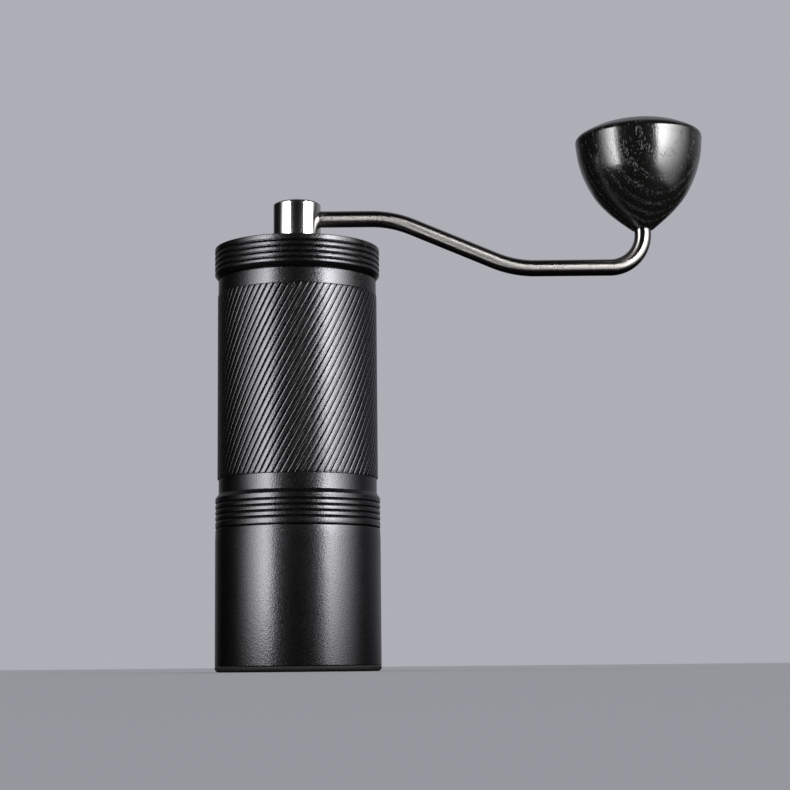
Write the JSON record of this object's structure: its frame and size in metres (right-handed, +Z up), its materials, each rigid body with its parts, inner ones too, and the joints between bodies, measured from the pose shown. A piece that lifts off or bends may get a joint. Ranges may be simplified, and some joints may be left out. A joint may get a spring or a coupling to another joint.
{
  "type": "hand crank coffee grinder",
  "caption": "Hand crank coffee grinder: knurled tube with ribbed rings, screw-on catch cup, lid, bent crank with turned knob, and a cone burr on a ball-bearing spindle.",
  "frame": {"origin": "centre of the underside of the base pad, on the spindle axis", "axes": "+Z up along the spindle, +X along the crank at rest, +Y away from the viewer of the front"},
  "size_m": [0.1601, 0.0536, 0.179],
  "materials": {
    "black_anodised": "fine blasted and black anodised",
    "black_rubber": "matt",
    "black_silicone": "satin silicone",
    "machined_aluminium": "machined",
    "bright_steel": "fine turned stainless steel",
    "polished_dark_steel": "polished stainless rod",
    "spring_steel": "drawn steel",
    "bearing_steel": "ground",
    "burr_steel": "machined and hardened",
    "brass": "turned",
    "bush_plastic": "natural acetal",
    "black_wood": "open-grain wood, black stain, clear gloss lacquer"
  },
  "bodies": {
    "cup": {"catch_cup": "black_anodised", "base_pad": "black_rubber"},
    "seal": {"cup_seal": "black_silicone"},
    "housing": {"grip_body": "black_anodised", "upper_bearing_bridge": "machined_aluminium", "bridge_snap_ring": "spring_steel", "burr_carrier": "machined_aluminium", "carrier_screw_1": "spring_steel", "carrier_screw_2": "spring_steel", "carrier_screw_3": "spring_steel", "ring_burr": "burr_steel", "upper_bearing_outer_ring": "bearing_steel", "upper_bearing_shield_top": "spring_steel", "upper_bearing_shield_bottom": "spring_steel", "lower_bearing_outer_ring": "bearing_steel", "lower_bearing_shield_top": "spring_steel", "lower_bearing_shield_bottom": "spring_steel"},
    "spindle": {"spindle": "spring_steel", "spindle_clip": "spring_steel", "spring_washer": "spring_steel", "end_screw": "spring_steel", "upper_bearing_inner_ring": "bearing_steel", "lower_bearing_inner_ring": "bearing_steel", "burr_spring": "spring_steel"},
    "cone": {"cone_burr": "burr_steel", "click_plate": "brass", "detent_ball_1": "bearing_steel", "detent_ball_2": "bearing_steel", "detent_spring_1": "spring_steel", "detent_spring_2": "spring_steel"},
    "dial": {"adjuster_dial": "brass"},
    "upper_balls": {"upper_bearing_balls": "bearing_steel"},
    "lower_balls": {"lower_bearing_balls": "bearing_steel"},
    "lid": {"lid_cap": "black_anodised", "lid_bush": "bush_plastic", "lid_seal": "black_silicone"},
    "crank": {"crank_hub": "bright_steel", "hub_clip": "spring_steel", "crank_arm": "polished_dark_steel", "arm_grub_screw": "spring_steel"},
    "knob": {"knob": "black_wood", "knob_bush": "brass", "knob_clip": "spring_steel"}
  },
  "joints": [
    {"name": "cup_lift", "type": "slide", "parent": "cup", "child": "seal", "axis": [0, 0, 1], "range_m": [0, 0.008]},
    {"name": "cup_unscrew", "type": "hinge", "parent": "seal", "child": "housing", "pos_m": [0, 0, 0.0455], "axis": [0, 0, 1], "range_deg": [0, 1440]},
    {"name": "spindle_spin", "type": "hinge", "parent": "housing", "child": "spindle", "pos_m": [0, 0, 0.09], "axis": [0, 0, 1], "continuous": true},
    {"name": "upper_balls_roll", "type": "hinge", "parent": "housing", "child": "upper_balls", "pos_m": [0, 0, 0.1028], "axis": [0, 0, 1], "continuous": true},
    {"name": "lower_balls_roll", "type": "hinge", "parent": "housing", "child": "lower_balls", "pos_m": [0, 0, 0.0803], "axis": [0, 0, 1], "continuous": true},
    {"name": "cone_travel", "type": "slide", "parent": "spindle", "child": "cone", "axis": [0, 0, -1], "range_m": [0, 0.00112], "deforming": ["burr_spring"]},
    {"name": "adjuster_turn", "type": "hinge", "parent": "cone", "child": "dial", "pos_m": [0, 0, 0.0512], "axis": [0, 0, -1], "range_deg": [0, 540]},
    {"name": "lid_lift", "type": "slide", "parent": "housing", "child": "lid", "axis": [0, 0, 1], "range_m": [0, 0.04]},
    {"name": "crank_lift", "type": "slide", "parent": "spindle", "child": "crank", "axis": [0, 0, 1], "range_m": [0, 0.04]},
    {"name": "knob_spin", "type": "hinge", "parent": "crank", "child": "knob", "pos_m": [0.1132, 0, 0.1423], "axis": [-0.0227, 0, 0.9997], "continuous": true}
  ],
  "couplings": [
    {"joint": "cup_lift", "follows": "cup_unscrew", "m_per_rad": 0.0003183},
    {"joint": "upper_balls_roll", "follows": "spindle_spin", "ratio": 0.39},
    {"joint": "lower_balls_roll", "follows": "spindle_spin", "ratio": 0.39},
    {"joint": "adjuster_turn", "follows": "cone_travel", "rad_per_m": 8377.5},
    {"joint": "lid_lift", "follows": "crank_lift", "ratio": 1}
  ]
}
